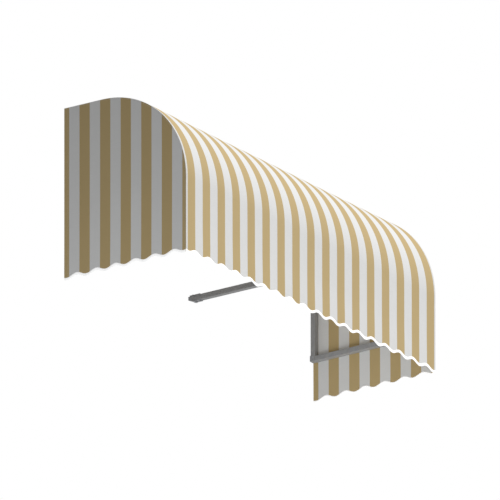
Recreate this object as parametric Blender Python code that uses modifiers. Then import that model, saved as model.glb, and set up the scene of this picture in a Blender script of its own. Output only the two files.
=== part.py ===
"""Fixed awning: a striped fabric cover on a welded frame of square steel tube.

+X runs along the facade, +Y points into the wall and +Z points up. The wall plane is Y = 0.
The origin is the centre of the middle header clip's back face, where the awning meets the wall.
"""

import math

import bmesh
import bpy
from mathutils import Matrix, Vector

# Driving dimensions, in metres
WIDTH = 2.633
FLAT_TOP = 0.281
ARC_RADIUS = 0.621
DEPTH = FLAT_TOP + ARC_RADIUS
TUBE = 0.034
TUBE_WALL = 0.0012
TUBE_CORNER = 0.0025
CLOTH = 0.0012
GAP = 0.0003
CLIP = 0.0025

# Heights, measured from the header rail's centre line
HALF_TUBE = TUBE / 2
TOP = HALF_TUBE + GAP + CLOTH
ARM_UNDERSIDE = TOP - 0.861
ARM_CENTRE = ARM_UNDERSIDE + HALF_TUBE
HEM = TOP - 1.1023

# The hem's wave, the same on the front and on both ends
WAVE_PERIOD = 0.1435
WAVE_HEIGHT = 0.0105
WAVE_STEPS = 8

# The hem binding, a tape folded round the raw edge of the cloth
TAPE = 0.001
TAPE_OUTSIDE = 0.0157
TAPE_INSIDE = 0.0087

# Planes that the frame lies in
BACK = -CLIP - GAP
FRONT = -DEPTH + CLOTH + GAP
END_FRAME_X = WIDTH / 2 - CLOTH - GAP - HALF_TUBE
RAIL_END_X = END_FRAME_X - HALF_TUBE - GAP
REAR_CENTRE = BACK - HALF_TUBE
FRONT_CENTRE = FRONT + HALF_TUBE

ARC_STEPS = 20
CORNER_STEPS = 2

# Joining pieces
SPIGOT = TUBE - 2 * TUBE_WALL - 2 * GAP
SPIGOT_WALL = 0.002
SPIGOT_LENGTH = 0.060
SCREW_HEAD = 0.0055
SCREW_DOME = 0.0028
SCREW_SHANK = 0.0024
SCREW_LENGTH = 0.0110
SCREW_SIDES = 10
HEADER_CLIP_WIDTH = 0.070
HEADER_CLIP_X = (-1.00, 0.0, 1.00)
CLIP_LEG = 0.031
FOOT_CLIP_HEIGHT = 0.036
LAG_HOLE = 0.004
LAG_SPACING = 0.020
SHOE = 0.003
SHOE_LENGTH = 0.094
SHOE_BACK = -0.026
ARM_END_Y = SHOE_BACK - SHOE - GAP
ARM_END_SLANT = 0.45
LUG_WIDTH = 0.012
LUG_TOP = 0.019
LUG_BOTTOM = -0.003
LUG_TOE = -0.018
HEX_HEAD = 0.0075
HEX_SHANK = 0.0024
HEX_LENGTH = 0.012
SHOE_SCREWS = {
    "shoe_screw_top_rear": (1, -0.032, 0.0065),
    "shoe_screw_top_front": (1, -0.067, 0.0035),
    "shoe_screw_bottom_rear": (-1, -0.056, 0.0065),
    "shoe_screw_bottom_front": (-1, -0.084, 0.0035),
}
COVER_SCREW_X = (-1.15, -0.55, 0.05, 0.55, 1.15)

X_AXIS = Vector((1, 0, 0))
Y_AXIS = Vector((0, 1, 0))
Z_AXIS = Vector((0, 0, 1))

# The columns give where a flat outline's x, y and thickness point
IN_YZ = Matrix(((0, 0, 1), (1, 0, 0), (0, 1, 0))).to_4x4()
IN_XZ = Matrix(((1, 0, 0), (0, 0, -1), (0, 1, 0))).to_4x4()
IN_XY = Matrix.Identity(4)


def clear_scene():
    for obj in list(bpy.data.objects):
        bpy.data.objects.remove(obj, do_unlink=True)


def new_collection(name):
    collection = bpy.data.collections.new(name)
    bpy.context.scene.collection.children.link(collection)
    return collection


def new_material(name, colour, roughness, metallic=0.0):
    material = bpy.data.materials.new(name)
    material.use_nodes = True
    shader = material.node_tree.nodes["Principled BSDF"]
    shader.inputs["Base Color"].default_value = (*colour, 1.0)
    shader.inputs["Roughness"].default_value = roughness
    shader.inputs["Metallic"].default_value = metallic
    return material


clear_scene()
awning = new_collection("fabric_awning")
cutters = new_collection("cutters")
striped_cloth = new_material("striped_cloth", (0.66, 0.56, 0.38), 0.85)
hem_tape = new_material("hem_tape", (0.88, 0.88, 0.87), 0.8)
frame_paint = new_material("frame_paint", (0.34, 0.34, 0.34), 0.45)
zinc = new_material("zinc", (0.50, 0.50, 0.50), 0.35, 1.0)


def add_object(name, mesh, material, place=None):
    obj = bpy.data.objects.new(name, mesh)
    obj.matrix_world = place or Matrix.Identity(4)
    obj.data.materials.append(material)
    awning.objects.link(obj)
    return obj


def add_cutter(name, mesh, place=None):
    obj = bpy.data.objects.new(name, mesh)
    obj.matrix_world = place or Matrix.Identity(4)
    obj.hide_render = True
    obj.display_type = "WIRE"
    cutters.objects.link(obj)
    return obj


def cut(obj, cutter):
    modifier = obj.modifiers.new(cutter.name, "BOOLEAN")
    modifier.operation = "DIFFERENCE"
    modifier.solver = "EXACT"
    modifier.object = cutter


def outline_mesh(name, points, thickness):
    """A flat outline given thickness, as a closed mesh centred on its own plane."""
    curve = bpy.data.curves.new(name, "CURVE")
    curve.dimensions = "2D"
    curve.fill_mode = "BOTH"
    curve.extrude = thickness / 2
    spline = curve.splines.new("POLY")
    spline.points.add(len(points) - 1)
    for point, (x, y) in zip(spline.points, points):
        point.co = (x, y, 0, 1)
    spline.use_cyclic_u = True
    guide = bpy.data.objects.new(name + "_outline", curve)
    bpy.context.scene.collection.objects.link(guide)
    evaluated = guide.evaluated_get(bpy.context.evaluated_depsgraph_get())
    mesh = bpy.data.meshes.new_from_object(evaluated)
    mesh.name = name
    bpy.data.objects.remove(guide, do_unlink=True)
    bpy.data.curves.remove(curve)
    bm = bmesh.new()
    bm.from_mesh(mesh)
    bmesh.ops.remove_doubles(bm, verts=bm.verts, dist=0.00001)
    bmesh.ops.recalc_face_normals(bm, faces=bm.faces)
    bm.to_mesh(mesh)
    bm.free()
    mesh.materials.clear()
    return mesh


def rounded_square(half, radius):
    points = []
    for quarter in range(4):
        turn = math.pi / 2 * quarter
        centre = Vector((half - radius, half - radius))
        for step in range(CORNER_STEPS + 1):
            angle = math.pi / 2 * step / CORNER_STEPS
            x = centre.x + radius * math.cos(angle)
            y = centre.y + radius * math.sin(angle)
            points.append((x * math.cos(turn) - y * math.sin(turn), x * math.sin(turn) + y * math.cos(turn)))
    return points


def loft(bm, section, stations, close_ends):
    """Skins a closed section through stations of (centre, direction of x, direction of y)."""
    rings = []
    for centre, across, up in stations:
        rings.append([bm.verts.new(centre + across * x + up * y) for x, y in section])
    count = len(section)
    for ring, following in zip(rings, rings[1:]):
        for i in range(count):
            j = (i + 1) % count
            bm.faces.new((ring[i], ring[j], following[j], following[i]))
    if close_ends:
        bm.faces.new(list(reversed(rings[0])))
        bm.faces.new(rings[-1])
    return rings


def hollow_tube(name, stations, size=TUBE, wall=TUBE_WALL, material=None):
    """An open-ended square tube with rounded corners, following the stations."""
    bm = bmesh.new()
    outer = loft(bm, rounded_square(size / 2, TUBE_CORNER), stations, False)
    inner = loft(bm, rounded_square(size / 2 - wall, TUBE_CORNER / 2), stations, False)
    for end in (0, -1):
        for i in range(len(outer[end])):
            bm.faces.new((outer[end][i - 1], outer[end][i], inner[end][i], inner[end][i - 1]))
    bmesh.ops.recalc_face_normals(bm, faces=bm.faces)
    mesh = bpy.data.meshes.new(name)
    bm.to_mesh(mesh)
    bm.free()
    return add_object(name, mesh, material or frame_paint)


def straight(start, end, across, up):
    return [(Vector(start), across, up), (Vector(end), across, up)]


def cylinder_mesh(name, radius, low, high, sides):
    """A closed cylinder along local Z, from low to high."""
    bm = bmesh.new()
    bmesh.ops.create_cone(
        bm, cap_ends=True, segments=sides, radius1=radius, radius2=radius, depth=high - low,
        matrix=Matrix.Translation((0, 0, (low + high) / 2)),
    )
    mesh = bpy.data.meshes.new(name)
    bm.to_mesh(mesh)
    bm.free()
    return mesh


def facing(point, direction):
    """A placement whose local Z points along the direction."""
    return Matrix.Translation(point) @ Vector(direction).to_track_quat("Z", "Y").to_matrix().to_4x4()


def drill(name, point, direction, radius, targets, reach=0.020):
    cutter = add_cutter(name + "_hole", cylinder_mesh(name, radius, -reach, reach / 2, SCREW_SIDES),
                        facing(point, direction))
    for target in targets:
        cut(target, cutter)


def screw(name, point, direction, targets):
    """A domed screw whose head sits at the point; the shank runs against the direction."""
    profile = (
        (0, SCREW_DOME), (SCREW_HEAD * 0.7, SCREW_DOME * 0.8), (SCREW_HEAD, 0),
        (SCREW_SHANK, 0), (SCREW_SHANK, -SCREW_LENGTH), (0, -SCREW_LENGTH),
    )
    mesh = bpy.data.meshes.new(name)
    mesh.from_pydata([(r, 0, z) for r, z in profile], [(i, i + 1) for i in range(len(profile) - 1)], [])
    obj = add_object(name, mesh, zinc, facing(point, direction))
    turn = obj.modifiers.new("turn", "SCREW")
    turn.steps = SCREW_SIDES
    turn.render_steps = SCREW_SIDES
    turn.use_merge_vertices = True
    turn.merge_threshold = 0.00001
    drill(name, point, direction, SCREW_SHANK + GAP, targets)
    return obj


def wave(distance):
    """Height of the hem at a distance from the middle of its panel."""
    return HEM - WAVE_HEIGHT * math.cos(2 * math.pi * distance / WAVE_PERIOD)


def wave_points(start, end):
    count = max(2, math.ceil((end - start) / WAVE_PERIOD * WAVE_STEPS))
    return [start + (end - start) * i / count for i in range(count + 1)]


def arc_points(radius):
    """The rounded shoulder, from the end of the flat top down to the straight front."""
    centre = Vector((-FLAT_TOP, TOP - ARC_RADIUS))
    points = []
    for step in range(ARC_STEPS + 1):
        angle = math.pi / 2 * step / ARC_STEPS
        points.append((centre.x - radius * math.sin(angle), centre.y + radius * math.cos(angle)))
    return points


def cover():
    """Top, rounded shoulder and front in one cloth, cut to a wave along its lower edge."""
    overhang = 3 * WAVE_HEIGHT
    bm = bmesh.new()
    path = [(0, TOP)] + arc_points(ARC_RADIUS) + [(-DEPTH, HEM - overhang)]
    verts = [bm.verts.new((-WIDTH / 2, y, z)) for y, z in path]
    edges = [bm.edges.new(pair) for pair in zip(verts, verts[1:])]
    swept = bmesh.ops.extrude_edge_only(bm, edges=edges)
    moved = [item for item in swept["geom"] if isinstance(item, bmesh.types.BMVert)]
    bmesh.ops.translate(bm, verts=moved, vec=(WIDTH, 0, 0))
    bmesh.ops.recalc_face_normals(bm, faces=bm.faces)
    bm.faces.ensure_lookup_table()
    if max(bm.faces, key=lambda face: face.calc_center_median().z).normal.z < 0:
        bmesh.ops.reverse_faces(bm, faces=bm.faces)
    mesh = bpy.data.meshes.new("cover")
    bm.to_mesh(mesh)
    bm.free()
    obj = add_object("cover", mesh, striped_cloth)
    shell = obj.modifiers.new("thickness", "SOLIDIFY")
    shell.thickness = CLOTH
    shell.offset = -1
    shell.use_even_offset = True
    past = WIDTH / 2 + overhang
    points = [(x, wave(x)) for x in wave_points(-past, past)]
    points += [(past, HEM - 2 * overhang), (-past, HEM - 2 * overhang)]
    cutter = add_cutter("hem_wave", outline_mesh("hem_wave", points, 2 * overhang), IN_XZ)
    cutter.location.y = -DEPTH
    cut(obj, cutter)
    return obj


def end_panel(name, side):
    """Flat end cloth: straight back and top, rounded shoulder and the same waved hem."""
    inset = CLOTH + GAP
    front = -DEPTH + inset
    points = [(0, TOP - inset)] + arc_points(ARC_RADIUS - inset)
    hem = [(y, wave(y + DEPTH / 2)) for y in wave_points(front, 0)]
    points += hem
    place = IN_YZ.copy()
    place.translation.x = side * (WIDTH / 2 - CLOTH / 2)
    return add_object(name, outline_mesh(name, points, CLOTH), striped_cloth, place)


def binding(name, start, end, place_point, outward):
    """Tape folded up both sides of a hem; place_point turns a distance into the cloth's middle."""
    slot = CLOTH / 2 + GAP
    skin = slot + TAPE
    base = -TAPE - GAP
    section = [
        (skin, TAPE_OUTSIDE), (slot, TAPE_OUTSIDE), (slot, -GAP), (-slot, -GAP),
        (-slot, TAPE_INSIDE), (-skin, TAPE_INSIDE), (-skin, base), (skin, base),
    ]
    stations = [(place_point(d), outward, Z_AXIS) for d in wave_points(start, end)]
    bm = bmesh.new()
    loft(bm, section, stations, True)
    bmesh.ops.recalc_face_normals(bm, faces=bm.faces)
    mesh = bpy.data.meshes.new(name)
    bm.to_mesh(mesh)
    bm.free()
    return add_object(name, mesh, hem_tape)


def bindings():
    leaf = CLOTH + GAP + TAPE + GAP
    reach = WIDTH / 2 - leaf
    cloth_y = -DEPTH + CLOTH / 2
    binding("front_binding", -reach, reach, lambda d: Vector((d, cloth_y, wave(d))), -Y_AXIS)
    for name, side in (("left_binding", -1), ("right_binding", 1)):
        cloth_x = side * (WIDTH / 2 - CLOTH / 2)
        binding(
            name, CLOTH + GAP - DEPTH / 2, DEPTH / 2,
            lambda d, x=cloth_x: Vector((x, d - DEPTH / 2, wave(d))), side * X_AXIS,
        )


def bow_stations(x, mitred_back):
    """Centre line of a bow: back end, flat top, rounded shoulder, straight front, mitred foot."""
    radius = ARC_RADIUS - CLOTH - GAP - HALF_TUBE
    if mitred_back:
        stations = [(Vector((x, REAR_CENTRE, 0)), X_AXIS, Z_AXIS + Y_AXIS)]
    else:
        stations = [(Vector((x, BACK - TUBE - GAP, 0)), X_AXIS, Z_AXIS)]
    for step, (y, z) in enumerate(arc_points(radius)):
        angle = math.pi / 2 * step / ARC_STEPS
        outward = Vector((0, -math.sin(angle), math.cos(angle)))
        stations.append((Vector((x, y, z)), X_AXIS, outward))
    stations.append((Vector((x, FRONT_CENTRE, ARM_CENTRE + GAP)), X_AXIS, -Y_AXIS - Z_AXIS))
    return stations


def end_frame(side_name, side):
    """Wall post, lower arm and bow, mitred and welded into one loop."""
    x = side * END_FRAME_X
    post = hollow_tube(side_name + "_wall_post", [
        (Vector((x, REAR_CENTRE, -GAP)), X_AXIS, Y_AXIS + Z_AXIS),
        (Vector((x, REAR_CENTRE, ARM_CENTRE + GAP)), X_AXIS, Y_AXIS - Z_AXIS),
    ])
    hollow_tube(side_name + "_lower_arm", [
        (Vector((x, REAR_CENTRE, ARM_CENTRE)), X_AXIS, Z_AXIS - Y_AXIS),
        (Vector((x, FRONT_CENTRE, ARM_CENTRE)), X_AXIS, Z_AXIS + Y_AXIS),
    ])
    hollow_tube(side_name + "_bow", bow_stations(x, True))
    return post


def spigot(name, start, direction, across, up, hosts, screw_face):
    """A stub welded to one tube that slides inside the next, held by one screw."""
    start = Vector(start)
    stub = hollow_tube(
        name, straight(start, start + direction * SPIGOT_LENGTH, across, up),
        size=SPIGOT, wall=SPIGOT_WALL, material=frame_paint,
    )
    point = start + direction * SPIGOT_LENGTH / 2 + screw_face * (HALF_TUBE)
    screw(name.replace("spigot", "screw"), point, screw_face, [stub] + hosts)
    return stub


def header_clip(name, x, header):
    """A folded plate behind and under the header rail."""
    leg = HALF_TUBE + GAP
    points = [
        (0, HALF_TUBE), (-CLIP, HALF_TUBE), (-CLIP, -leg), (-CLIP_LEG, -leg),
        (-CLIP_LEG, -leg - CLIP), (0, -leg - CLIP),
    ]
    place = IN_YZ.copy()
    place.translation.x = x
    clip = add_object(name, outline_mesh(name, points, HEADER_CLIP_WIDTH), zinc, place)
    for number, offset in enumerate((-LAG_SPACING, LAG_SPACING)):
        drill(f"{name}_lag_{number}", (x + offset, 0, 0), Y_AXIS, LAG_HOLE, [clip], 0.008)
    screw(name + "_screw", (x, REAR_CENTRE, -leg - CLIP), -Z_AXIS, [clip, header])


def foot_clip(name, side, post):
    """A folded plate behind and beside the foot of a wall post."""
    outer = side * (END_FRAME_X + HALF_TUBE)
    inner = side * (END_FRAME_X - HALF_TUBE - GAP)
    edge = inner - side * CLIP
    points = [(outer, 0), (outer, -CLIP), (inner, -CLIP), (inner, -CLIP_LEG), (edge, -CLIP_LEG), (edge, 0)]
    place = IN_XY.copy()
    low = ARM_UNDERSIDE + TUBE_CORNER
    place.translation.z = low + FOOT_CLIP_HEIGHT / 2
    clip = add_object(name, outline_mesh(name, points, FOOT_CLIP_HEIGHT), zinc, place)
    middle = low + FOOT_CLIP_HEIGHT / 2
    drill(name + "_lag", (side * END_FRAME_X, 0, middle + 0.008), Y_AXIS, LAG_HOLE, [clip], 0.008)
    screw(name + "_screw", (edge, REAR_CENTRE, low + TUBE), -side * X_AXIS, [clip, post])


def joined_solid(obj, tool):
    modifier = obj.modifiers.new(tool.name, "BOOLEAN")
    modifier.operation = "UNION"
    modifier.solver = "EXACT"
    modifier.object = tool


def hex_screw(name, point, direction, height, targets):
    """A hexagon-headed screw whose head sits at the point; the shank runs against the direction."""
    place = facing(point, direction)
    body = add_object(name, cylinder_mesh(name, HEX_HEAD, 0, height, 6), zinc, place)
    shank = cylinder_mesh(name + "_shank", HEX_SHANK, -HEX_LENGTH, height / 2, SCREW_SIDES)
    joined_solid(body, add_cutter(name + "_shank", shank, place))
    drill(name, point, direction, HEX_SHANK + GAP, targets)


def middle_shoe(arm):
    """A lug on the wall with a channel on it that takes the middle arm's slanted end and four screws."""
    tab = HALF_TUBE + GAP
    rim = tab + SHOE

    def back(height, inset=0.0):
        return SHOE_BACK + ARM_END_SLANT * height - inset

    channel = [
        (back(rim), rim), (-SHOE_LENGTH, rim), (-SHOE_LENGTH, tab), (back(tab, SHOE), tab),
        (back(-tab, SHOE), -tab), (-SHOE_LENGTH, -tab), (-SHOE_LENGTH, -rim), (back(-rim), -rim),
    ]
    lug = [
        (0, LUG_TOP), (back(LUG_TOP, SHOE / 2), LUG_TOP),
        (back(LUG_TOE, SHOE / 2), LUG_TOE), (0, LUG_BOTTOM),
    ]
    place = IN_YZ.copy()
    place.translation.z = ARM_CENTRE
    shoe = add_object("middle_arm_shoe", outline_mesh("middle_arm_shoe", channel, TUBE), zinc, place)
    joined_solid(shoe, add_cutter("shoe_lug", outline_mesh("shoe_lug", lug, LUG_WIDTH), place))
    for name, (side, y, height) in SHOE_SCREWS.items():
        hex_screw(name, (0, y, ARM_CENTRE + side * (rim + GAP)), Z_AXIS * side, height, [shoe, arm])


def frame():
    posts = {name: end_frame(name, side) for name, side in (("left", -1), ("right", 1))}
    hollow_tube("middle_bow", bow_stations(0, False))
    middle_bow = awning.objects["middle_bow"]
    arm = hollow_tube("middle_lower_arm", [
        (Vector((0, ARM_END_Y, ARM_CENTRE)), X_AXIS, Z_AXIS + ARM_END_SLANT * Y_AXIS),
        (Vector((0, FRONT_CENTRE, ARM_CENTRE)), X_AXIS, Z_AXIS + Y_AXIS),
    ])
    header = hollow_tube("header_rail", straight(
        (-RAIL_END_X, REAR_CENTRE, 0), (RAIL_END_X, REAR_CENTRE, 0), Y_AXIS, Z_AXIS))
    spigot("middle_bow_spigot", (0, BACK - TUBE - GAP, 0), -Y_AXIS, X_AXIS, Z_AXIS, [middle_bow], -Z_AXIS)
    inner_end = HALF_TUBE + GAP
    for name, side in (("left", -1), ("right", 1)):
        rail = hollow_tube(name + "_front_rail", straight(
            (side * inner_end, FRONT_CENTRE, ARM_CENTRE), (side * RAIL_END_X, FRONT_CENTRE, ARM_CENTRE),
            Y_AXIS, Z_AXIS))
        inward = -side * X_AXIS
        spigot(name + "_header_spigot", (side * RAIL_END_X, REAR_CENTRE, 0), inward, Y_AXIS, Z_AXIS,
               [header], -Z_AXIS)
        spigot(name + "_front_outer_spigot", (side * RAIL_END_X, FRONT_CENTRE, ARM_CENTRE), inward,
               Y_AXIS, Z_AXIS, [rail], -Z_AXIS)
        spigot(name + "_front_inner_spigot", (side * inner_end, FRONT_CENTRE, ARM_CENTRE), -inward,
               Y_AXIS, Z_AXIS, [rail], -Z_AXIS)
        foot_clip(name + "_foot_clip", side, posts[name])
    for name, x in zip(("left", "middle", "right"), HEADER_CLIP_X):
        header_clip(name + "_header_clip", x, header)
    middle_shoe(arm)
    return header


def fabric(header):
    cloth = cover()
    end_panel("left_end_panel", -1)
    end_panel("right_end_panel", 1)
    bindings()
    for number, x in enumerate(COVER_SCREW_X, start=1):
        screw(f"cover_screw_{number}", (x, REAR_CENTRE, TOP + GAP), Z_AXIS, [cloth, header])


fabric(frame())
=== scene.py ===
# Striped fabric awning with rounded shoulders, dressed over its steel frame.
import math
import random

import bmesh
import bpy
from mathutils import Matrix, Vector, noise


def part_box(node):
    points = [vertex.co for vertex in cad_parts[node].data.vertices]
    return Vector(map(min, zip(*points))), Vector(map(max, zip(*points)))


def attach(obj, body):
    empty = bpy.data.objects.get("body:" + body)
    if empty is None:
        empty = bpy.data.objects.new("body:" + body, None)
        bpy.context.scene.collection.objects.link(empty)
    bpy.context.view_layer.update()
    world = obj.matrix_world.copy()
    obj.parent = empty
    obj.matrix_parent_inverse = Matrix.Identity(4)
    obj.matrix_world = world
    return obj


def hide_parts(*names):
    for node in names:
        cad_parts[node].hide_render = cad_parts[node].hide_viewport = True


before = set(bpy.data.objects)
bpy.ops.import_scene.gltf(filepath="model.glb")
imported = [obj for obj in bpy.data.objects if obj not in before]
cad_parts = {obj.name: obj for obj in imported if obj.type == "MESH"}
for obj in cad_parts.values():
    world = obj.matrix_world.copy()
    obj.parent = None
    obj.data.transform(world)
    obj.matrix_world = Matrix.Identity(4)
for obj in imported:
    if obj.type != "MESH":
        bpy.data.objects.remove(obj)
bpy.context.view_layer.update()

random.seed(7)

xAxis = Vector((1, 0, 0))
yAxis = Vector((0, 1, 0))
zAxis = Vector((0, 0, 1))

# Sizes of the finished cloth, in metres; the rest comes from the frame
cloth = {
    "arcRadius": 0.621,
    "wavePeriod": 0.1435,
    "waveHeight": 0.0105,
    "hemDrop": 1.1023,  # mean raw edge below the top
    "thickness": 0.0006,
    "hemThickness": 0.00118,
    "rearHem": 0.030,
    "seamFold": 0.011,
    "sag": 0.0012,  # how far it draws in between two bows
    "sagClear": 0.05,  # no sag this near the wall and the rail
    "sagGrow": 0.25,
    "sagFade": 0.30,
    "columns": 330,
    "rows": 110,
}

# The loose cloth below the rail and the arms
valance = {
    "ripple": 0.0018,
    "endShare": 0.6,  # the ends ripple less than the front
    "freeAfter": 0.22,
    "cornerHold": 0.10,
    "frontFolds": (2.3, 21.0),  # slow and quick folds, in turns a metre
    "endFolds": (3.1, 23.0),
}

coverLow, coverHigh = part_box("cover")
leftX = coverLow.x
rightX = coverHigh.x
frontY = coverLow.y
wallY = coverHigh.y
topZ = coverHigh.z
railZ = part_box("left_front_rail")[0].z
flatTop = -frontY - cloth["arcRadius"]
arcLength = cloth["arcRadius"] * math.pi / 2
shoulderEnd = flatTop + arcLength  # length along the cloth from the wall to the straight front
railEnd = shoulderEnd + (topZ - cloth["arcRadius"]) - railZ
edgeMean = shoulderEnd + cloth["hemDrop"] - cloth["arcRadius"]
bowCentres = [sum(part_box(name), Vector()).x / 2 for name in ("left_bow", "middle_bow", "right_bow")]
halfTube = (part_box("middle_bow")[1].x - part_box("middle_bow")[0].x) / 2


def smooth(t):
    t = max(0.0, min(1.0, t))
    return t * t * (3 - 2 * t)


def hump(t):
    # 0 at both ends, 1 in the middle
    return math.sin(math.pi * t) if 0 < t < 1 else 0.0


def foldHeight(distance, folds, seed):
    # uneven folds of hanging cloth, never below zero
    slow, quick = folds
    return max(0.0, 1 + noise.noise(Vector((distance * slow, *seed))) + 0.5 * math.sin(distance * quick))


def finishObject(name, mesh, material):
    obj = bpy.data.objects.new(name, mesh)
    bpy.context.scene.collection.objects.link(obj)
    obj.data.materials.append(material)
    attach(obj, "root")
    return obj


def meshFrom(name, bm, smoothShade=True):
    bmesh.ops.recalc_face_normals(bm, faces=bm.faces)
    mesh = bpy.data.meshes.new(name)
    bm.to_mesh(mesh)
    bm.free()
    if smoothShade:
        mesh.shade_smooth()
    return mesh


def clothSheet(name, columns, rows, place, thickness, material):
    # place(i, j) gives a point on the outer face, the way out of the cloth, and its weave coordinates
    bm = bmesh.new()
    uvLayer = bm.loops.layers.uv.new("weave")
    outer, inner, weave = {}, {}, {}
    for i in range(columns + 1):
        for j in range(rows + 1):
            point, out, uv = place(i / columns, j / rows)
            outer[i, j] = bm.verts.new(point)
            inner[i, j] = bm.verts.new(point - out * thickness(i / columns, j / rows))
            weave[outer[i, j]] = weave[inner[i, j]] = uv
    for i in range(columns):
        for j in range(rows):
            bm.faces.new((outer[i, j], outer[i + 1, j], outer[i + 1, j + 1], outer[i, j + 1]))
            bm.faces.new((inner[i, j], inner[i, j + 1], inner[i + 1, j + 1], inner[i + 1, j]))
    rim = [(i, 0) for i in range(columns)] + [(columns, j) for j in range(rows)]
    rim += [(i, rows) for i in range(columns, 0, -1)] + [(0, j) for j in range(rows, 0, -1)]
    for a, b in zip(rim, rim[1:] + rim[:1]):
        bm.faces.new((outer[a], inner[a], inner[b], outer[b]))
    for face in bm.faces:
        for loop in face.loops:
            loop[uvLayer].uv = weave[loop.vert]
    mesh = meshFrom(name, bm)
    mesh.set_sharp_from_angle(angle=math.radians(50))
    return finishObject(name, mesh, material)


def sweep(bm, section, stations, uvLayer):
    # stations are (centre, direction of section x, direction of section y)
    rings = [[bm.verts.new(c + a * x + b * y) for x, y in section] for c, a, b in stations]
    count = len(section)
    along = 0.0
    around = [0.0]
    for p, q in zip(section, section[1:] + section[:1]):
        around.append(around[-1] + math.dist(p, q))
    for k, (ring, following) in enumerate(zip(rings, rings[1:])):
        step = (stations[k + 1][0] - stations[k][0]).length
        for i in range(count):
            j = (i + 1) % count
            face = bm.faces.new((ring[i], ring[j], following[j], following[i]))
            corners = ((along, i), (along, i + 1), (along + step, i + 1), (along + step, i))
            for loop, (u, n) in zip(face.loops, corners):
                loop[uvLayer].uv = (u, around[n])
        along += step
    bm.faces.new(list(reversed(rings[0])))
    bm.faces.new(rings[-1])


class NodeBench:
    # small helper that keeps node making short
    def __init__(self, tree):
        self.tree = tree
        self.column = 0

    def add(self, kind, **settings):
        node = self.tree.nodes.new(kind)
        self.column += 1
        node.location = (180 * (self.column % 12), -220 * (self.column // 12))
        for key, value in settings.items():
            setattr(node, key, value)
        return node

    def link(self, source, target):
        self.tree.links.new(source, target)

    def put(self, socket, value):
        if isinstance(value, bpy.types.NodeSocket):
            self.link(value, socket)
        else:
            socket.default_value = value

    def math(self, operation, *values):
        node = self.add("ShaderNodeMath", operation=operation)
        for socket, value in zip(node.inputs, values):
            self.put(socket, value)
        return node.outputs[0]

    def mix(self, factor, first, second, blend="MIX"):
        node = self.add("ShaderNodeMix", data_type="RGBA", blend_type=blend)
        self.put(node.inputs["Factor"], factor)
        self.put(node.inputs[6], first)
        self.put(node.inputs[7], second)
        return node.outputs[2]

    def noise(self, vector, scale, detail=3.0, roughness=0.5):
        node = self.add("ShaderNodeTexNoise")
        self.put(node.inputs["Vector"], vector)
        node.inputs["Scale"].default_value = scale
        node.inputs["Detail"].default_value = detail
        node.inputs["Roughness"].default_value = roughness
        return node.outputs["Fac"]

    def remap(self, value, low, high, newLow, newHigh):
        node = self.add("ShaderNodeMapRange")
        for socket, item in zip(node.inputs, (value, low, high, newLow, newHigh)):
            self.put(socket, item)
        return node.outputs[0]

    def group(self, tree, **values):
        node = self.add("ShaderNodeGroup", node_tree=tree)
        for key, value in values.items():
            self.put(node.inputs[key], value)
        return node


def newGroup(name, inputs, outputs):
    tree = bpy.data.node_groups.new(name, "ShaderNodeTree")
    for label, kind, value in inputs:
        socket = tree.interface.new_socket(label, in_out="INPUT", socket_type=kind)
        if value is not None:
            socket.default_value = value
    for label, kind in outputs:
        tree.interface.new_socket(label, in_out="OUTPUT", socket_type=kind)
    bench = NodeBench(tree)
    return tree, bench, bench.add("NodeGroupInput"), bench.add("NodeGroupOutput")


# Alternating stripes woven into the cloth, counted from where the first full one starts
def makeStripeGroup():
    tree, b, source, target = newGroup(
        "wovenStripes",
        [("Across", "NodeSocketFloat", 0.0), ("Start", "NodeSocketFloat", 0.0),
         ("Width", "NodeSocketFloat", 0.08)],
        [("Odd", "NodeSocketFloat")],
    )
    count = b.math("DIVIDE", b.math("SUBTRACT", source.outputs["Across"], source.outputs["Start"]),
                   source.outputs["Width"])
    halved = b.math("FRACT", b.math("MULTIPLY", b.math("FLOOR", count), 0.5))
    b.link(b.math("GREATER_THAN", b.math("ABSOLUTE", halved), 0.25), target.inputs["Odd"])
    return tree


# Plain weave: warp and weft threads passing over and under, with uneven yarn
def makeWeaveGroup():
    tree, b, source, target = newGroup(
        "plainWeave",
        [("Weave", "NodeSocketVector", None), ("Thread", "NodeSocketFloat", 0.0009),
         ("Slub", "NodeSocketFloat", 0.3)],
        [("Height", "NodeSocketFloat"), ("Shade", "NodeSocketFloat"), ("Roughness", "NodeSocketFloat")],
    )
    split = b.add("ShaderNodeSeparateXYZ")
    b.link(source.outputs["Weave"], split.inputs[0])
    turns = b.math("DIVIDE", math.pi, source.outputs["Thread"])
    warp = b.math("SINE", b.math("MULTIPLY", split.outputs["X"], turns))
    weft = b.math("SINE", b.math("MULTIPLY", split.outputs["Y"], turns))
    crossing = b.math("MULTIPLY", warp, weft)
    streakSource = b.add("ShaderNodeMapping")
    b.link(source.outputs["Weave"], streakSource.inputs["Vector"])
    streakSource.inputs["Scale"].default_value = (420, 9, 1)
    streak = b.noise(streakSource.outputs[0], 1.0, 4.0, 0.6)
    pickSource = b.add("ShaderNodeMapping")
    b.link(source.outputs["Weave"], pickSource.inputs["Vector"])
    pickSource.inputs["Scale"].default_value = (7, 300, 1)
    pick = b.noise(pickSource.outputs[0], 1.0, 3.0, 0.6)
    uneven = b.math("MULTIPLY", b.math("ADD", b.math("SUBTRACT", streak, 0.5), b.math("SUBTRACT", pick, 0.5)),
                    source.outputs["Slub"])
    b.link(b.math("ADD", b.math("MULTIPLY", crossing, 0.5), uneven), target.inputs["Height"])
    b.link(b.math("ADD", b.math("MULTIPLY", uneven, 0.22), 1.0), target.inputs["Shade"])
    b.link(b.math("ADD", b.math("MULTIPLY", crossing, 0.04), 0.84), target.inputs["Roughness"])
    return tree


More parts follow.
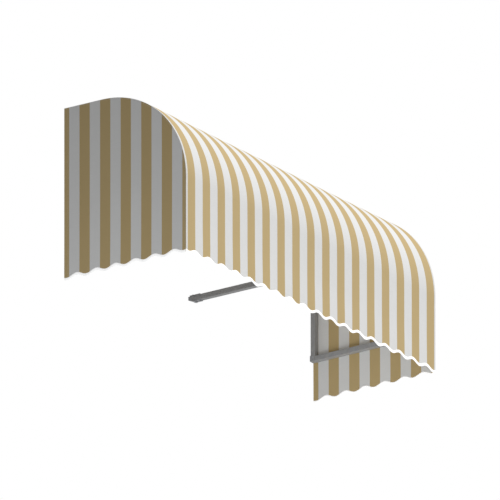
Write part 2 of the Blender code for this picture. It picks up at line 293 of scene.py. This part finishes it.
# Slow change of tone from weather and handling, a little warmer where dust settles
def makeDustGroup():
    tree, b, source, target = newGroup(
        "weathering",
        [("Color", "NodeSocketColor", None), ("Amount", "NodeSocketFloat", 0.03),
         ("Scale", "NodeSocketFloat", 3.0)],
        [("Color", "NodeSocketColor"), ("Mask", "NodeSocketFloat")],
    )
    place = b.add("ShaderNodeTexCoord")
    wide = b.add("ShaderNodeTexNoise")
    b.link(place.outputs["Object"], wide.inputs["Vector"])
    b.link(source.outputs["Scale"], wide.inputs["Scale"])
    wide.inputs["Detail"].default_value = 5.0
    mask = b.math("MULTIPLY", b.remap(wide.outputs["Fac"], 0.35, 0.75, 0.0, 1.0), source.outputs["Amount"])
    b.link(b.mix(mask, source.outputs["Color"], (0.30, 0.27, 0.22, 1)), target.inputs["Color"])
    b.link(mask, target.inputs["Mask"])
    return tree


# Edges and corners rubbed brighter, found from the shape itself
def makeEdgeGroup():
    tree, b, source, target = newGroup(
        "edgeWear",
        [("Amount", "NodeSocketFloat", 0.5), ("Breakup", "NodeSocketFloat", 60.0)],
        [("Mask", "NodeSocketFloat")],
    )
    geometry = b.add("ShaderNodeNewGeometry")
    place = b.add("ShaderNodeTexCoord")
    ragged = b.add("ShaderNodeTexNoise")
    b.link(place.outputs["Object"], ragged.inputs["Vector"])
    b.link(source.outputs["Breakup"], ragged.inputs["Scale"])
    ragged.inputs["Detail"].default_value = 4.0
    edge = b.remap(geometry.outputs["Pointiness"], 0.505, 0.56, 0.0, 1.0)
    worn = b.math("MULTIPLY", edge, b.remap(ragged.outputs["Fac"], 0.4, 0.6, 0.0, 1.0))
    b.link(b.math("MULTIPLY", worn, source.outputs["Amount"]), target.inputs["Mask"])
    return tree


stripeGroup = makeStripeGroup()
weaveGroup = makeWeaveGroup()
dustGroup = makeDustGroup()
edgeGroup = makeEdgeGroup()


def newMaterial(name):
    material = bpy.data.materials.new(name)
    material.use_nodes = True
    bench = NodeBench(material.node_tree)
    return material, bench, material.node_tree.nodes["Principled BSDF"]


def bump(b, shader, height, strength, distance):
    node = b.add("ShaderNodeBump")
    node.inputs["Strength"].default_value = strength
    node.inputs["Distance"].default_value = distance
    b.put(node.inputs["Height"], height)
    b.link(node.outputs["Normal"], shader.inputs["Normal"])


clothLook = {
    "white": (0.83, 0.83, 0.82, 1),
    "tan": (0.590, 0.443, 0.215, 1),
    "thread": 0.0009,
    "slub": 0.30,
    "dust": 0.035,
    "dustScale": 2.6,
    "specular": 0.25,
    "sheen": 0.08,
    "relief": 0.35,
    "reliefDepth": 0.00012,
}


def awningCloth(name, axis, start, width, evenColour, oddColour):
    material, b, shader = newMaterial(name)
    place = b.add("ShaderNodeTexCoord")
    split = b.add("ShaderNodeSeparateXYZ")
    b.link(place.outputs["Object"], split.inputs[0])
    bands = b.group(stripeGroup, Across=split.outputs[axis], Start=start, Width=width)
    weave = b.group(weaveGroup, Weave=place.outputs["UV"], Thread=clothLook["thread"], Slub=clothLook["slub"])
    dyed = b.mix(bands.outputs["Odd"], clothLook[evenColour], clothLook[oddColour])
    shaded = b.mix(1.0, dyed, weave.outputs["Shade"], "MULTIPLY")
    aged = b.group(dustGroup, Color=shaded, Amount=clothLook["dust"], Scale=clothLook["dustScale"])
    b.link(aged.outputs["Color"], shader.inputs["Base Color"])
    b.link(weave.outputs["Roughness"], shader.inputs["Roughness"])
    shader.inputs["Specular IOR Level"].default_value = clothLook["specular"]
    shader.inputs["Sheen Weight"].default_value = clothLook["sheen"]
    shader.inputs["Sheen Roughness"].default_value = 0.5
    bump(b, shader, weave.outputs["Height"], clothLook["relief"], clothLook["reliefDepth"])
    return material


stripes = {
    "coverFirst": 0.0166,  # the part stripe at the left edge
    "coverWidth": 0.0789,
    "endFirst": 0.0363,  # the part stripe at the wall
    "endWidth": 0.0761,
}

coverStart = leftX + stripes["coverFirst"]
coverCloth = awningCloth("coverCloth", "X", coverStart, stripes["coverWidth"], "tan", "white")
endCloth = awningCloth("endCloth", "Y", -stripes["endFirst"], -stripes["endWidth"], "white", "tan")


tapeLook = {
    "white": (0.93, 0.93, 0.93, 1),
    "paintedGlow": 0.5,  # painted light: the tape glows so it reads white in the shade too
    "thread": 0.0006,
    "slub": 0.25,
    "dust": 0.02,
    "dustScale": 5.0,
}


def hemTapeMaterial():
    material, b, shader = newMaterial("whiteHemTape")
    place = b.add("ShaderNodeTexCoord")
    weave = b.group(weaveGroup, Weave=place.outputs["UV"], Thread=tapeLook["thread"], Slub=tapeLook["slub"])
    shaded = b.mix(1.0, tapeLook["white"], weave.outputs["Shade"], "MULTIPLY")
    aged = b.group(dustGroup, Color=shaded, Amount=tapeLook["dust"], Scale=tapeLook["dustScale"])
    b.link(aged.outputs["Color"], shader.inputs["Base Color"])
    b.link(weave.outputs["Roughness"], shader.inputs["Roughness"])
    shader.inputs["Specular IOR Level"].default_value = 0.3
    # painted light: the tape's colour also feeds emission, so the tape glows though it is no lamp
    b.link(aged.outputs["Color"], shader.inputs["Emission Color"])
    shader.inputs["Emission Strength"].default_value = tapeLook["paintedGlow"]
    bump(b, shader, weave.outputs["Height"], 0.4, 0.0001)
    return material


threadLook = {
    "light": (0.88, 0.87, 0.84, 1),
    "dark": (0.74, 0.73, 0.70, 1),
    "twist": 900.0,
}


def threadMaterial():
    material, b, shader = newMaterial("polyesterThread")
    place = b.add("ShaderNodeTexCoord")
    twist = b.add("ShaderNodeTexWave", wave_type="BANDS", bands_direction="DIAGONAL")
    b.link(place.outputs["Object"], twist.inputs["Vector"])
    twist.inputs["Scale"].default_value = threadLook["twist"]
    base = b.mix(twist.outputs["Fac"], threadLook["dark"], threadLook["light"])
    b.link(base, shader.inputs["Base Color"])
    b.link(b.remap(twist.outputs["Fac"], 0.0, 1.0, 0.55, 0.7), shader.inputs["Roughness"])
    bump(b, shader, twist.outputs["Fac"], 0.5, 0.0001)
    return material


framePaint = {
    "base": (0.345, 0.347, 0.352, 1),
    "worn": (0.52, 0.52, 0.51, 1),
    "roughness": 0.46,
    "wear": 0.22,
    "dust": 0.03,
    "spangle": 260.0,
}


def framePaintMaterial():
    material, b, shader = newMaterial("greyFramePaint")
    place = b.add("ShaderNodeTexCoord")
    fine = b.noise(place.outputs["Object"], 900.0, 2.0)
    spangle = b.add("ShaderNodeTexVoronoi")
    b.link(place.outputs["Object"], spangle.inputs["Vector"])
    spangle.inputs["Scale"].default_value = framePaint["spangle"]
    flake = b.remap(spangle.outputs["Distance"], 0.0, 0.8, 0.985, 1.015)
    coat = b.mix(1.0, framePaint["base"], flake, "MULTIPLY")
    wear = b.group(edgeGroup, Amount=framePaint["wear"], Breakup=80.0)
    rubbed = b.mix(wear.outputs["Mask"], coat, framePaint["worn"])
    aged = b.group(dustGroup, Color=rubbed, Amount=framePaint["dust"], Scale=6.0)
    b.link(aged.outputs["Color"], shader.inputs["Base Color"])
    b.link(b.remap(fine, 0.3, 0.7, framePaint["roughness"] - 0.05, framePaint["roughness"] + 0.08),
           shader.inputs["Roughness"])
    shader.inputs["Metallic"].default_value = 0.0
    shader.inputs["Coat Weight"].default_value = 0.08
    shader.inputs["Coat Roughness"].default_value = 0.35
    bump(b, shader, fine, 0.12, 0.00006)
    return material


zinc = {
    "dark": (0.40, 0.41, 0.43, 1),
    "light": (0.52, 0.53, 0.55, 1),
    "worn": (0.66, 0.66, 0.66, 1),
    "wear": 0.6,
    "metallic": 0.7,
}


def zincMaterial():
    material, b, shader = newMaterial("zincPlate")
    place = b.add("ShaderNodeTexCoord")
    fine = b.noise(place.outputs["Object"], 1400.0, 3.0)
    cloud = b.noise(place.outputs["Object"], 60.0, 4.0)
    base = b.mix(cloud, zinc["dark"], zinc["light"])
    wear = b.group(edgeGroup, Amount=zinc["wear"], Breakup=300.0)
    b.link(b.mix(wear.outputs["Mask"], base, zinc["worn"]), shader.inputs["Base Color"])
    b.link(b.remap(cloud, 0.3, 0.7, 0.36, 0.52), shader.inputs["Roughness"])
    shader.inputs["Metallic"].default_value = zinc["metallic"]
    bump(b, shader, fine, 0.2, 0.00008)
    return material


hemTape = hemTapeMaterial()
sewingThread = threadMaterial()
greyPaint = framePaintMaterial()
zincPlate = zincMaterial()
print("materials made")


def wave(distance):
    # height of the raw edge above or below its mean, at a distance from the panel's middle
    return -cloth["waveHeight"] * math.cos(2 * math.pi * distance / cloth["wavePeriod"])


def edgeLength(x):
    return edgeMean - wave(x)


def coverPath(s):
    # a point and the way out, at length s along the cloth from the wall
    if s <= flatTop:
        return Vector((0, wallY - s, topZ)), zAxis.copy()
    if s <= shoulderEnd:
        angle = (s - flatTop) / cloth["arcRadius"]
        out = Vector((0, -math.sin(angle), math.cos(angle)))
        centre = Vector((0, wallY - flatTop, topZ - cloth["arcRadius"]))
        return centre + out * cloth["arcRadius"], out
    return Vector((0, frontY, topZ - cloth["arcRadius"] - (s - shoulderEnd))), -yAxis


def bayShare(x):
    # 0 over a bow, 1 midway between two bows
    for first, second in zip(bowCentres, bowCentres[1:]):
        low, high = first + halfTube, second - halfTube
        if low < x < high:
            return hump((x - low) / (high - low))
    return 0.0


def coverPoint(x, s):
    point, out = coverPath(s)
    point.x = x
    if s < railEnd:
        fromWall = smooth((s - cloth["sagClear"]) / cloth["sagGrow"])
        fromRail = smooth((railEnd - cloth["sagClear"] - s) / cloth["sagFade"])
        point -= out * cloth["sag"] * bayShare(x) * fromWall * fromRail
    else:
        loose = smooth((s - railEnd) / valance["freeAfter"])
        loose *= smooth(min(x - leftX, rightX - x) / valance["cornerHold"])
        point += out * valance["ripple"] * loose * foldHeight(x, valance["frontFolds"], (5.1, 0))
    return point, out


def coverPlace(u, v):
    x = leftX + u * (rightX - leftX)
    s = v * edgeMean
    if s > railEnd:
        s = railEnd + (s - railEnd) * (edgeLength(x) - railEnd) / (edgeMean - railEnd)
    point, out = coverPoint(x, s)
    return point, out, (x, s)


def coverThickness(u, v):
    x = u * (rightX - leftX)
    folded = v * edgeMean < cloth["rearHem"] or min(x, rightX - leftX - x) < cloth["seamFold"]
    return cloth["hemThickness"] if folded else cloth["thickness"]


cover = clothSheet("cover_cloth", cloth["columns"], cloth["rows"], coverPlace, coverThickness, coverCloth)
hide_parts("cover")
print("cover made")

endCloths = {
    "inset": 0.0015,  # lies inside the cover's edge
    "sagShare": 0.7,  # of the cover's
    "tubeRoom": 0.04,  # flat over the post and the bow
    "columns": 190,
    "rows": 96,
    "flatShare": 0.24,  # of the columns, under the flat top
    "upperShare": 0.7,  # of the rows, above the arm
    "foldedRows": 0.012,
}

panelDepth = -frontY - endCloths["inset"]
panelMiddle = -frontY / 2


def panelTop(d):
    # top edge of the end cloth at a distance from the wall
    if d <= flatTop:
        return topZ - endCloths["inset"]
    radius = cloth["arcRadius"] - endCloths["inset"]
    across = min(d - flatTop, radius)
    return topZ - cloth["arcRadius"] + math.sqrt(radius * radius - across * across)


def panelPoint(side, d, z):
    # slight hollow between post, bow and arm, and a loose valance below
    x = rightX if side > 0 else leftX
    if z > railZ:
        along = (d - endCloths["tubeRoom"]) / (panelDepth - 2 * endCloths["tubeRoom"])
        up = (z - railZ) / max(0.05, panelTop(d) - railZ)
        drift = endCloths["sagShare"] * cloth["sag"] * hump(along) * hump(up)
    else:
        loose = smooth((railZ - z) / valance["freeAfter"]) * smooth((panelDepth - d) / valance["cornerHold"])
        drift = -valance["ripple"] * valance["endShare"] * loose
        drift *= foldHeight(d, valance["endFolds"], (side * 2.0, 0.7))
    return Vector((x - side * drift, -d, z)), xAxis * side


def panelEdge(d):
    return topZ - cloth["hemDrop"] + wave(d - panelMiddle)


def panelDistance(u):
    # columns close up where the shoulder turns steep
    share = endCloths["flatShare"]
    if u < share:
        return flatTop * u / share
    angle = (u - share) / (1 - share) * math.pi / 2
    return flatTop + (panelDepth - flatTop) * math.sin(angle)


def endPanel(name, side, node):
    def place(u, v):
        d = panelDistance(u)
        high = panelTop(d)
        share = endCloths["upperShare"]
        if v < share:
            z = high + (railZ - high) * v / share
        else:
            z = railZ + (panelEdge(d) - railZ) * (v - share) / (1 - share)
        point, out = panelPoint(side, d, z)
        return point, out, (d, z)

    def thickness(u, v):
        d = panelDistance(u)
        folded = d < cloth["rearHem"] or panelDepth - d < cloth["seamFold"] or v < endCloths["foldedRows"]
        return cloth["hemThickness"] if folded else cloth["thickness"]

    panel = clothSheet(name, endCloths["columns"], endCloths["rows"], place, thickness, endCloth)
    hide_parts(node)
    return panel


leftPanel = endPanel("left_end_cloth", -1, "left_end_panel")
rightPanel = endPanel("right_end_cloth", 1, "right_end_panel")
print("end panels made")


tape = {
    "outside": 0.0157,  # height of the outer leaf above the raw edge
    "inside": 0.0087,
    "leaf": 0.0008,
    "gap": 0.0002,  # between a leaf and the cloth
    "puff": 0.0002,  # each leaf is fuller in the middle
    "foldSteps": 6,
    "stepsPerWave": 22,
    "endTrim": 0.0004,
    "sideTrim": 0.0015,
}


def tapeSection():
    # x points out of the cloth from its outer face, y up from the raw edge
    out = tape["gap"]
    skin = out + tape["leaf"]
    back = -cloth["thickness"] - tape["gap"]
    backSkin = back - tape["leaf"]
    middle = (skin + backSkin) / 2
    radius = (skin - backSkin) / 2
    points = [(out, tape["outside"]), (out + tape["leaf"] * 0.6, tape["outside"] + 0.0003),
              (skin, tape["outside"] - 0.0004), (skin + tape["puff"], tape["outside"] * 0.55), (skin, 0.0008)]
    for step in range(1, tape["foldSteps"]):
        angle = math.pi * step / tape["foldSteps"]
        points.append((middle + radius * math.cos(angle), -radius * math.sin(angle) * 0.8))
    points += [(backSkin, 0.0008), (backSkin - tape["puff"], tape["inside"] * 0.5),
               (backSkin, tape["inside"] - 0.0004), (back - tape["leaf"] * 0.6, tape["inside"] + 0.0003),
               (back, tape["inside"]), (back, 0.0002), (-cloth["thickness"] / 2, -0.0003), (out, 0.0002)]
    return points


def hemTapePiece(name, start, end, edgePoint, node):
    count = math.ceil((end - start) / cloth["wavePeriod"] * tape["stepsPerWave"])
    stations = []
    for i in range(count + 1):
        distance = start + (end - start) * i / count
        point, out = edgePoint(distance)
        stations.append((point, out, zAxis))
    bm = bmesh.new()
    sweep(bm, tapeSection(), stations, bm.loops.layers.uv.new("weave"))
    mesh = meshFrom(name, bm)
    mesh.set_sharp_from_angle(angle=math.radians(60))
    piece = finishObject(name, mesh, hemTape)
    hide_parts(node)
    return piece


def frontEdge(x):
    return coverPoint(x, edgeLength(x))


def sideEdge(side):
    return lambda d: panelPoint(side, d, panelEdge(d))


frontSpan = (leftX + tape["endTrim"], rightX - tape["endTrim"])
sideSpan = (0.0, panelDepth - tape["sideTrim"])
frontTape = hemTapePiece("front_hem_tape", *frontSpan, frontEdge, "front_binding")
leftTape = hemTapePiece("left_hem_tape", *sideSpan, sideEdge(-1), "left_binding")
rightTape = hemTapePiece("right_hem_tape", *sideSpan, sideEdge(1), "right_binding")
print("hem tape made")


seam = {
    "radius": 0.0012,
    "sides": 8,
    "rows": 150,
    "sink": 0.0009,  # below the cover's face
    "overhang": 0.0004,  # past its edge
    "tapeLap": 0.004,  # how far it runs under the hem tape
}


def cornerSeam(name, x, side):
    # the turned edge of the cover, sewn along the end cloth
    angles = [2 * math.pi * k / seam["sides"] for k in range(seam["sides"])]
    section = [(seam["radius"] * math.cos(angle), seam["radius"] * math.sin(angle)) for angle in angles]
    stations = []
    last = edgeLength(x) - tape["outside"] + seam["tapeLap"]
    for i in range(seam["rows"] + 1):
        point, out = coverPoint(x, last * i / seam["rows"])
        centre = point - out * seam["sink"] - xAxis * side * seam["overhang"]
        stations.append((centre, xAxis * side, out))
    bm = bmesh.new()
    sweep(bm, section, stations, bm.loops.layers.uv.new("weave"))
    return finishObject(name, meshFrom(name, bm), coverCloth)


leftSeam = cornerSeam("left_corner_seam", leftX, -1)
rightSeam = cornerSeam("right_corner_seam", rightX, 1)

stitch = {
    "pitch": 0.0056,
    "length": 0.0042,
    "radius": 0.00042,
    "sides": 6,
    "profile": ((-0.5, 0.25), (-0.32, 0.9), (0.0, 1.1), (0.32, 0.9), (0.5, 0.25)),  # where, how thick
    "stray": 0.05,  # turn of a single stitch, in radians
    "seamInset": 0.0075,
    "hemInset": 0.004,
    "outerDrop": 0.0030,  # below the top of the tape's outer leaf
    "innerDrop": 0.0026,
    "aboveTape": 0.022,  # seams stop this far above the raw edge
    "cornerMargin": 0.012,  # hem rows stop this far from a corner
}


def stitchRow(bm, line, total):
    # line(s) gives a point on the cloth and the way out of it
    count = int(total / stitch["pitch"])
    for k in range(count):
        s = (k + 0.5) * total / count
        point, out = line(s)
        ahead, _ = line(min(total, s + 0.001))
        behind, _ = line(max(0.0, s - 0.001))
        along = (ahead - behind).normalized()
        along.rotate(Matrix.Rotation(random.uniform(-stitch["stray"], stitch["stray"]), 3, out))
        side = out.cross(along)
        made = []
        for where, share in stitch["profile"]:
            centre = point + along * where * stitch["length"]
            sink = 0.0 if abs(where) < 0.4 else -0.5
            radius = stitch["radius"] * share
            ring = []
            for q in range(stitch["sides"]):
                angle = 2 * math.pi * q / stitch["sides"]
                lift = radius * (math.sin(angle) + 0.35 + sink)
                ring.append(bm.verts.new(centre + side * radius * math.cos(angle) + out * lift))
            made.append(ring)
        for first, second in zip(made, made[1:]):
            for q in range(stitch["sides"]):
                r = (q + 1) % stitch["sides"]
                bm.faces.new((first[q], first[r], second[r], second[q]))
        bm.faces.new(list(reversed(made[0])))
        bm.faces.new(made[-1])


def stitching(name, rows):
    bm = bmesh.new()
    for line, total in rows:
        stitchRow(bm, line, total)
    return finishObject(name, meshFrom(name, bm), sewingThread)


def tapeLines(start, end, edgePoint):
    # one line on the outer leaf and one on the inner leaf
    outHeight = tape["outside"] - stitch["outerDrop"]
    inHeight = tape["inside"] - stitch["innerDrop"]
    skin = tape["gap"] + tape["leaf"] + 0.0001

    def outside(s):
        point, out = edgePoint(start + s)
        return point + out * skin + zAxis * outHeight, out

    def inside(s):
        point, out = edgePoint(start + s)
        return point - out * (skin + cloth["thickness"]) + zAxis * inHeight, -out

    return [(outside, end - start), (inside, end - start)]


frontStitches = stitching("front_hem_stitches", tapeLines(leftX + 0.004, rightX - 0.004, frontEdge))
leftStitches = stitching("left_hem_stitches", tapeLines(0.004, panelDepth - 0.006, sideEdge(-1)))
rightStitches = stitching("right_hem_stitches", tapeLines(0.004, panelDepth - 0.006, sideEdge(1)))


def panelSeamLine(side):
    # follows the rounded shoulder on the end cloth, just inside the seam
    inset = endCloths["inset"] + stitch["seamInset"]
    lowZ = panelEdge(panelDepth) + stitch["aboveTape"]
    straight = topZ - cloth["arcRadius"] - lowZ
    radius = cloth["arcRadius"] - inset
    turn = radius * math.pi / 2

    def line(s):
        if s < flatTop:
            d, z = s, topZ - inset
        elif s < flatTop + turn:
            angle = (s - flatTop) / radius
            d = flatTop + radius * math.sin(angle)
            z = topZ - cloth["arcRadius"] + radius * math.cos(angle)
        else:
            d, z = flatTop + radius, topZ - cloth["arcRadius"] - (s - flatTop - turn)
        return panelPoint(side, d, z)

    return line, flatTop + turn + straight


def coverSeamLine(x):
    return (lambda s: coverPoint(x, s)), edgeLength(x) - stitch["aboveTape"]


def rearHemLine(s):
    return coverPoint(leftX + stitch["cornerMargin"] + s, cloth["rearHem"] - stitch["hemInset"])


def postHemLine(side):
    d = cloth["rearHem"] - stitch["hemInset"]
    low = panelEdge(0.025) + stitch["aboveTape"]
    return (lambda s: panelPoint(side, d, low + s)), topZ - stitch["cornerMargin"] - low


coverStitches = stitching("cover_seam_stitches", [
    coverSeamLine(leftX + stitch["seamInset"]), coverSeamLine(rightX - stitch["seamInset"]),
    (rearHemLine, rightX - leftX - 2 * stitch["cornerMargin"])])
leftPanelStitches = stitching("left_panel_stitches", [panelSeamLine(-1), postHemLine(-1)])
rightPanelStitches = stitching("right_panel_stitches", [panelSeamLine(1), postHemLine(1)])
print("seams and stitches made")


paintedNodes = ("rail", "post", "arm", "bow", "spigot")
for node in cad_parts:
    obj = bpy.data.objects.get(node)
    if obj is None or node in ("cover", "left_end_panel", "right_end_panel") or "binding" in node:
        continue
    painted = any(word in node for word in paintedNodes) and "screw" not in node and "shoe" not in node
    obj.data.materials.clear()
    obj.data.materials.append(greyPaint if painted else zincPlate)

weld = {
    "radius": 0.0011,
    "points": 14,  # along each side of the tube
    "sides": 7,
    "sink": 0.0002,  # into the tube's face
    "flatness": 0.7,
    "ripple": 0.18,
    "unevenness": 0.15,
}


def weldBead(name, centre, mitre):
    # a small rippled bead round a mitre; mitre is the direction across the joint in the frame's plane
    half = halfTube - weld["sink"]
    corners = [xAxis * half + mitre * half, -xAxis * half + mitre * half,
               -xAxis * half - mitre * half, xAxis * half - mitre * half]
    route = []
    for a, b in zip(corners, corners[1:] + corners[:1]):
        for k in range(weld["points"]):
            t = k / weld["points"]
            route.append(centre + a.lerp(b, t))
    bm = bmesh.new()
    rings = []
    total = len(route)
    for k, point in enumerate(route):
        along = (route[(k + 1) % total] - route[k - 1]).normalized()
        out = (point - centre).normalized()
        side = along.cross(out).normalized()
        out = side.cross(along)
        uneven = weld["ripple"] * math.sin(k * 2.1) + weld["unevenness"] * noise.noise(point * 300)
        radius = weld["radius"] * (1 + uneven)
        ring = []
        for q in range(weld["sides"]):
            angle = 2 * math.pi * q / weld["sides"]
            lift = radius * weld["flatness"] * math.sin(angle)
            ring.append(bm.verts.new(point + side * radius * math.cos(angle) + out * lift))
        rings.append(ring)
    for ring, following in zip(rings, rings[1:] + rings[:1]):
        for q in range(weld["sides"]):
            r = (q + 1) % weld["sides"]
            bm.faces.new((ring[q], ring[r], following[r], following[q]))
    return finishObject(name, meshFrom(name, bm), greyPaint)


def frameWelds():
    for name in ("left", "right", "middle"):
        armLow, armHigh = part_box(name + "_lower_arm")
        x = (armLow.x + armHigh.x) / 2
        z = (armLow.z + armHigh.z) / 2
        front = Vector((x, armLow.y + halfTube, z))
        weldBead(name + "_foot_weld", front, yAxis + zAxis)
        if name != "middle":
            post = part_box(name + "_wall_post")
            back = (post[0].y + post[1].y) / 2
            weldBead(name + "_wall_weld", Vector((x, back, z)), yAxis - zAxis)
            weldBead(name + "_top_weld", Vector((x, back, post[1].z - halfTube)), yAxis + zAxis)


frameWelds()
print("frame finished")


studio = {
    "floorDrop": 3.0,
    "floorSize": 10.0,
    "floorFade": (2.8, 4.9),  # where the floor starts and stops fading into the white around it
    "sunTo": (0.20, -0.523, 0.77),  # from the awning towards the light
    "sunStrength": 2.99,
    "sunAngle": 25.0,
    "ambient": 0.25,
    "fillColour": (0.94, 0.97, 1.0),
}

# soft panels that lift the shaded sides: place, what it faces, size, power and beam spread
fillPanels = {
    "fill_left": ((-3.2, -0.7, -2.3), (-1.3, -0.45, -0.9), 1.4, 8.9, math.radians(180)),
    "fill_under": ((0.1, -0.55, -2.2), (1.3, -0.45, -0.9), 1.0, 1.52, math.radians(75)),
}


def floorMaterial():
    material, b, shader = newMaterial("paleFloor")
    place = b.add("ShaderNodeTexCoord")
    grain = b.noise(place.outputs["Object"], 4.0, 5.0)
    b.link(b.mix(grain, (0.70, 0.70, 0.70, 1), (0.75, 0.75, 0.75, 1)), shader.inputs["Base Color"])
    b.link(b.remap(grain, 0.3, 0.7, 0.7, 0.85), shader.inputs["Roughness"])
    reach = b.add("ShaderNodeVectorMath")
    reach.operation = "LENGTH"
    b.link(place.outputs["Object"], reach.inputs[0])
    b.link(b.remap(reach.outputs["Value"], *studio["floorFade"], 1.0, 0.0), shader.inputs["Alpha"])
    return material


def makeStudio():
    bm = bmesh.new()
    bmesh.ops.create_grid(bm, x_segments=8, y_segments=8, size=studio["floorSize"] / 2)
    mesh = bpy.data.meshes.new("studio_floor")
    bm.to_mesh(mesh)
    bm.free()
    floor = bpy.data.objects.new("studio_floor", mesh)
    floor.location.z = topZ - studio["floorDrop"]
    floor.data.materials.append(floorMaterial())
    bpy.context.scene.collection.objects.link(floor)

    sun = bpy.data.objects.new("key_sun", bpy.data.lights.new("key_sun", "SUN"))
    sun.data.energy = studio["sunStrength"]
    sun.data.angle = math.radians(studio["sunAngle"])
    sun.rotation_euler = Vector(studio["sunTo"]).to_track_quat("Z", "Y").to_euler()
    bpy.context.scene.collection.objects.link(sun)

    for name, (place, target, size, power, spread) in fillPanels.items():
        lamp = bpy.data.objects.new(name, bpy.data.lights.new(name, "AREA"))
        lamp.data.shape = "DISK"
        lamp.data.size = size
        lamp.data.energy = power
        lamp.data.color = studio["fillColour"]
        lamp.data.spread = spread
        lamp.visible_camera = False
        lamp.location = place
        lamp.rotation_euler = (Vector(place) - Vector(target)).to_track_quat("Z", "Y").to_euler()
        bpy.context.scene.collection.objects.link(lamp)

    world = bpy.data.worlds.new("studio_white")
    world.use_nodes = True
    bpy.context.scene.world = world
    b = NodeBench(world.node_tree)
    seen = world.node_tree.nodes["Background"]
    seen.inputs["Color"].default_value = (1, 1, 1, 1)
    seen.inputs["Strength"].default_value = 1.0
    felt = b.add("ShaderNodeBackground")
    felt.inputs["Color"].default_value = (1, 1, 1, 1)
    felt.inputs["Strength"].default_value = studio["ambient"]
    rays = b.add("ShaderNodeLightPath")
    pick = b.add("ShaderNodeMixShader")
    b.link(rays.outputs["Is Camera Ray"], pick.inputs["Fac"])
    b.link(felt.outputs[0], pick.inputs[1])
    b.link(seen.outputs[0], pick.inputs[2])
    b.link(pick.outputs[0], world.node_tree.nodes["World Output"].inputs["Surface"])


camera = {
    "azimuth": -55.0,
    "elevation": -20.0,  # from below, looking up
    "width": 3.0303,  # metres across the view
    "aim": (0.0, -0.4524, -0.5961),
    "distance": 2.56,
}


def makeCamera():
    turn = math.radians(camera["azimuth"])
    tilt = math.radians(camera["elevation"])
    look = Vector((-math.sin(turn) * math.cos(tilt), math.cos(turn) * math.cos(tilt), -math.sin(tilt)))
    right = Vector((math.cos(turn), math.sin(turn), 0))
    up = right.cross(look)
    data = bpy.data.cameras.new("view_camera")
    data.type = "ORTHO"
    data.ortho_scale = camera["width"]
    data.clip_start = 0.01
    data.clip_end = 100.0
    obj = bpy.data.objects.new("view_camera", data)
    place = Matrix.Translation(Vector(camera["aim"]) - look * camera["distance"])
    obj.matrix_world = place @ Matrix((right, up, -look)).transposed().to_4x4()
    bpy.context.scene.collection.objects.link(obj)
    bpy.context.scene.camera = obj


makeStudio()
makeCamera()
bpy.context.scene.view_settings.view_transform = "Standard"
print("studio made")
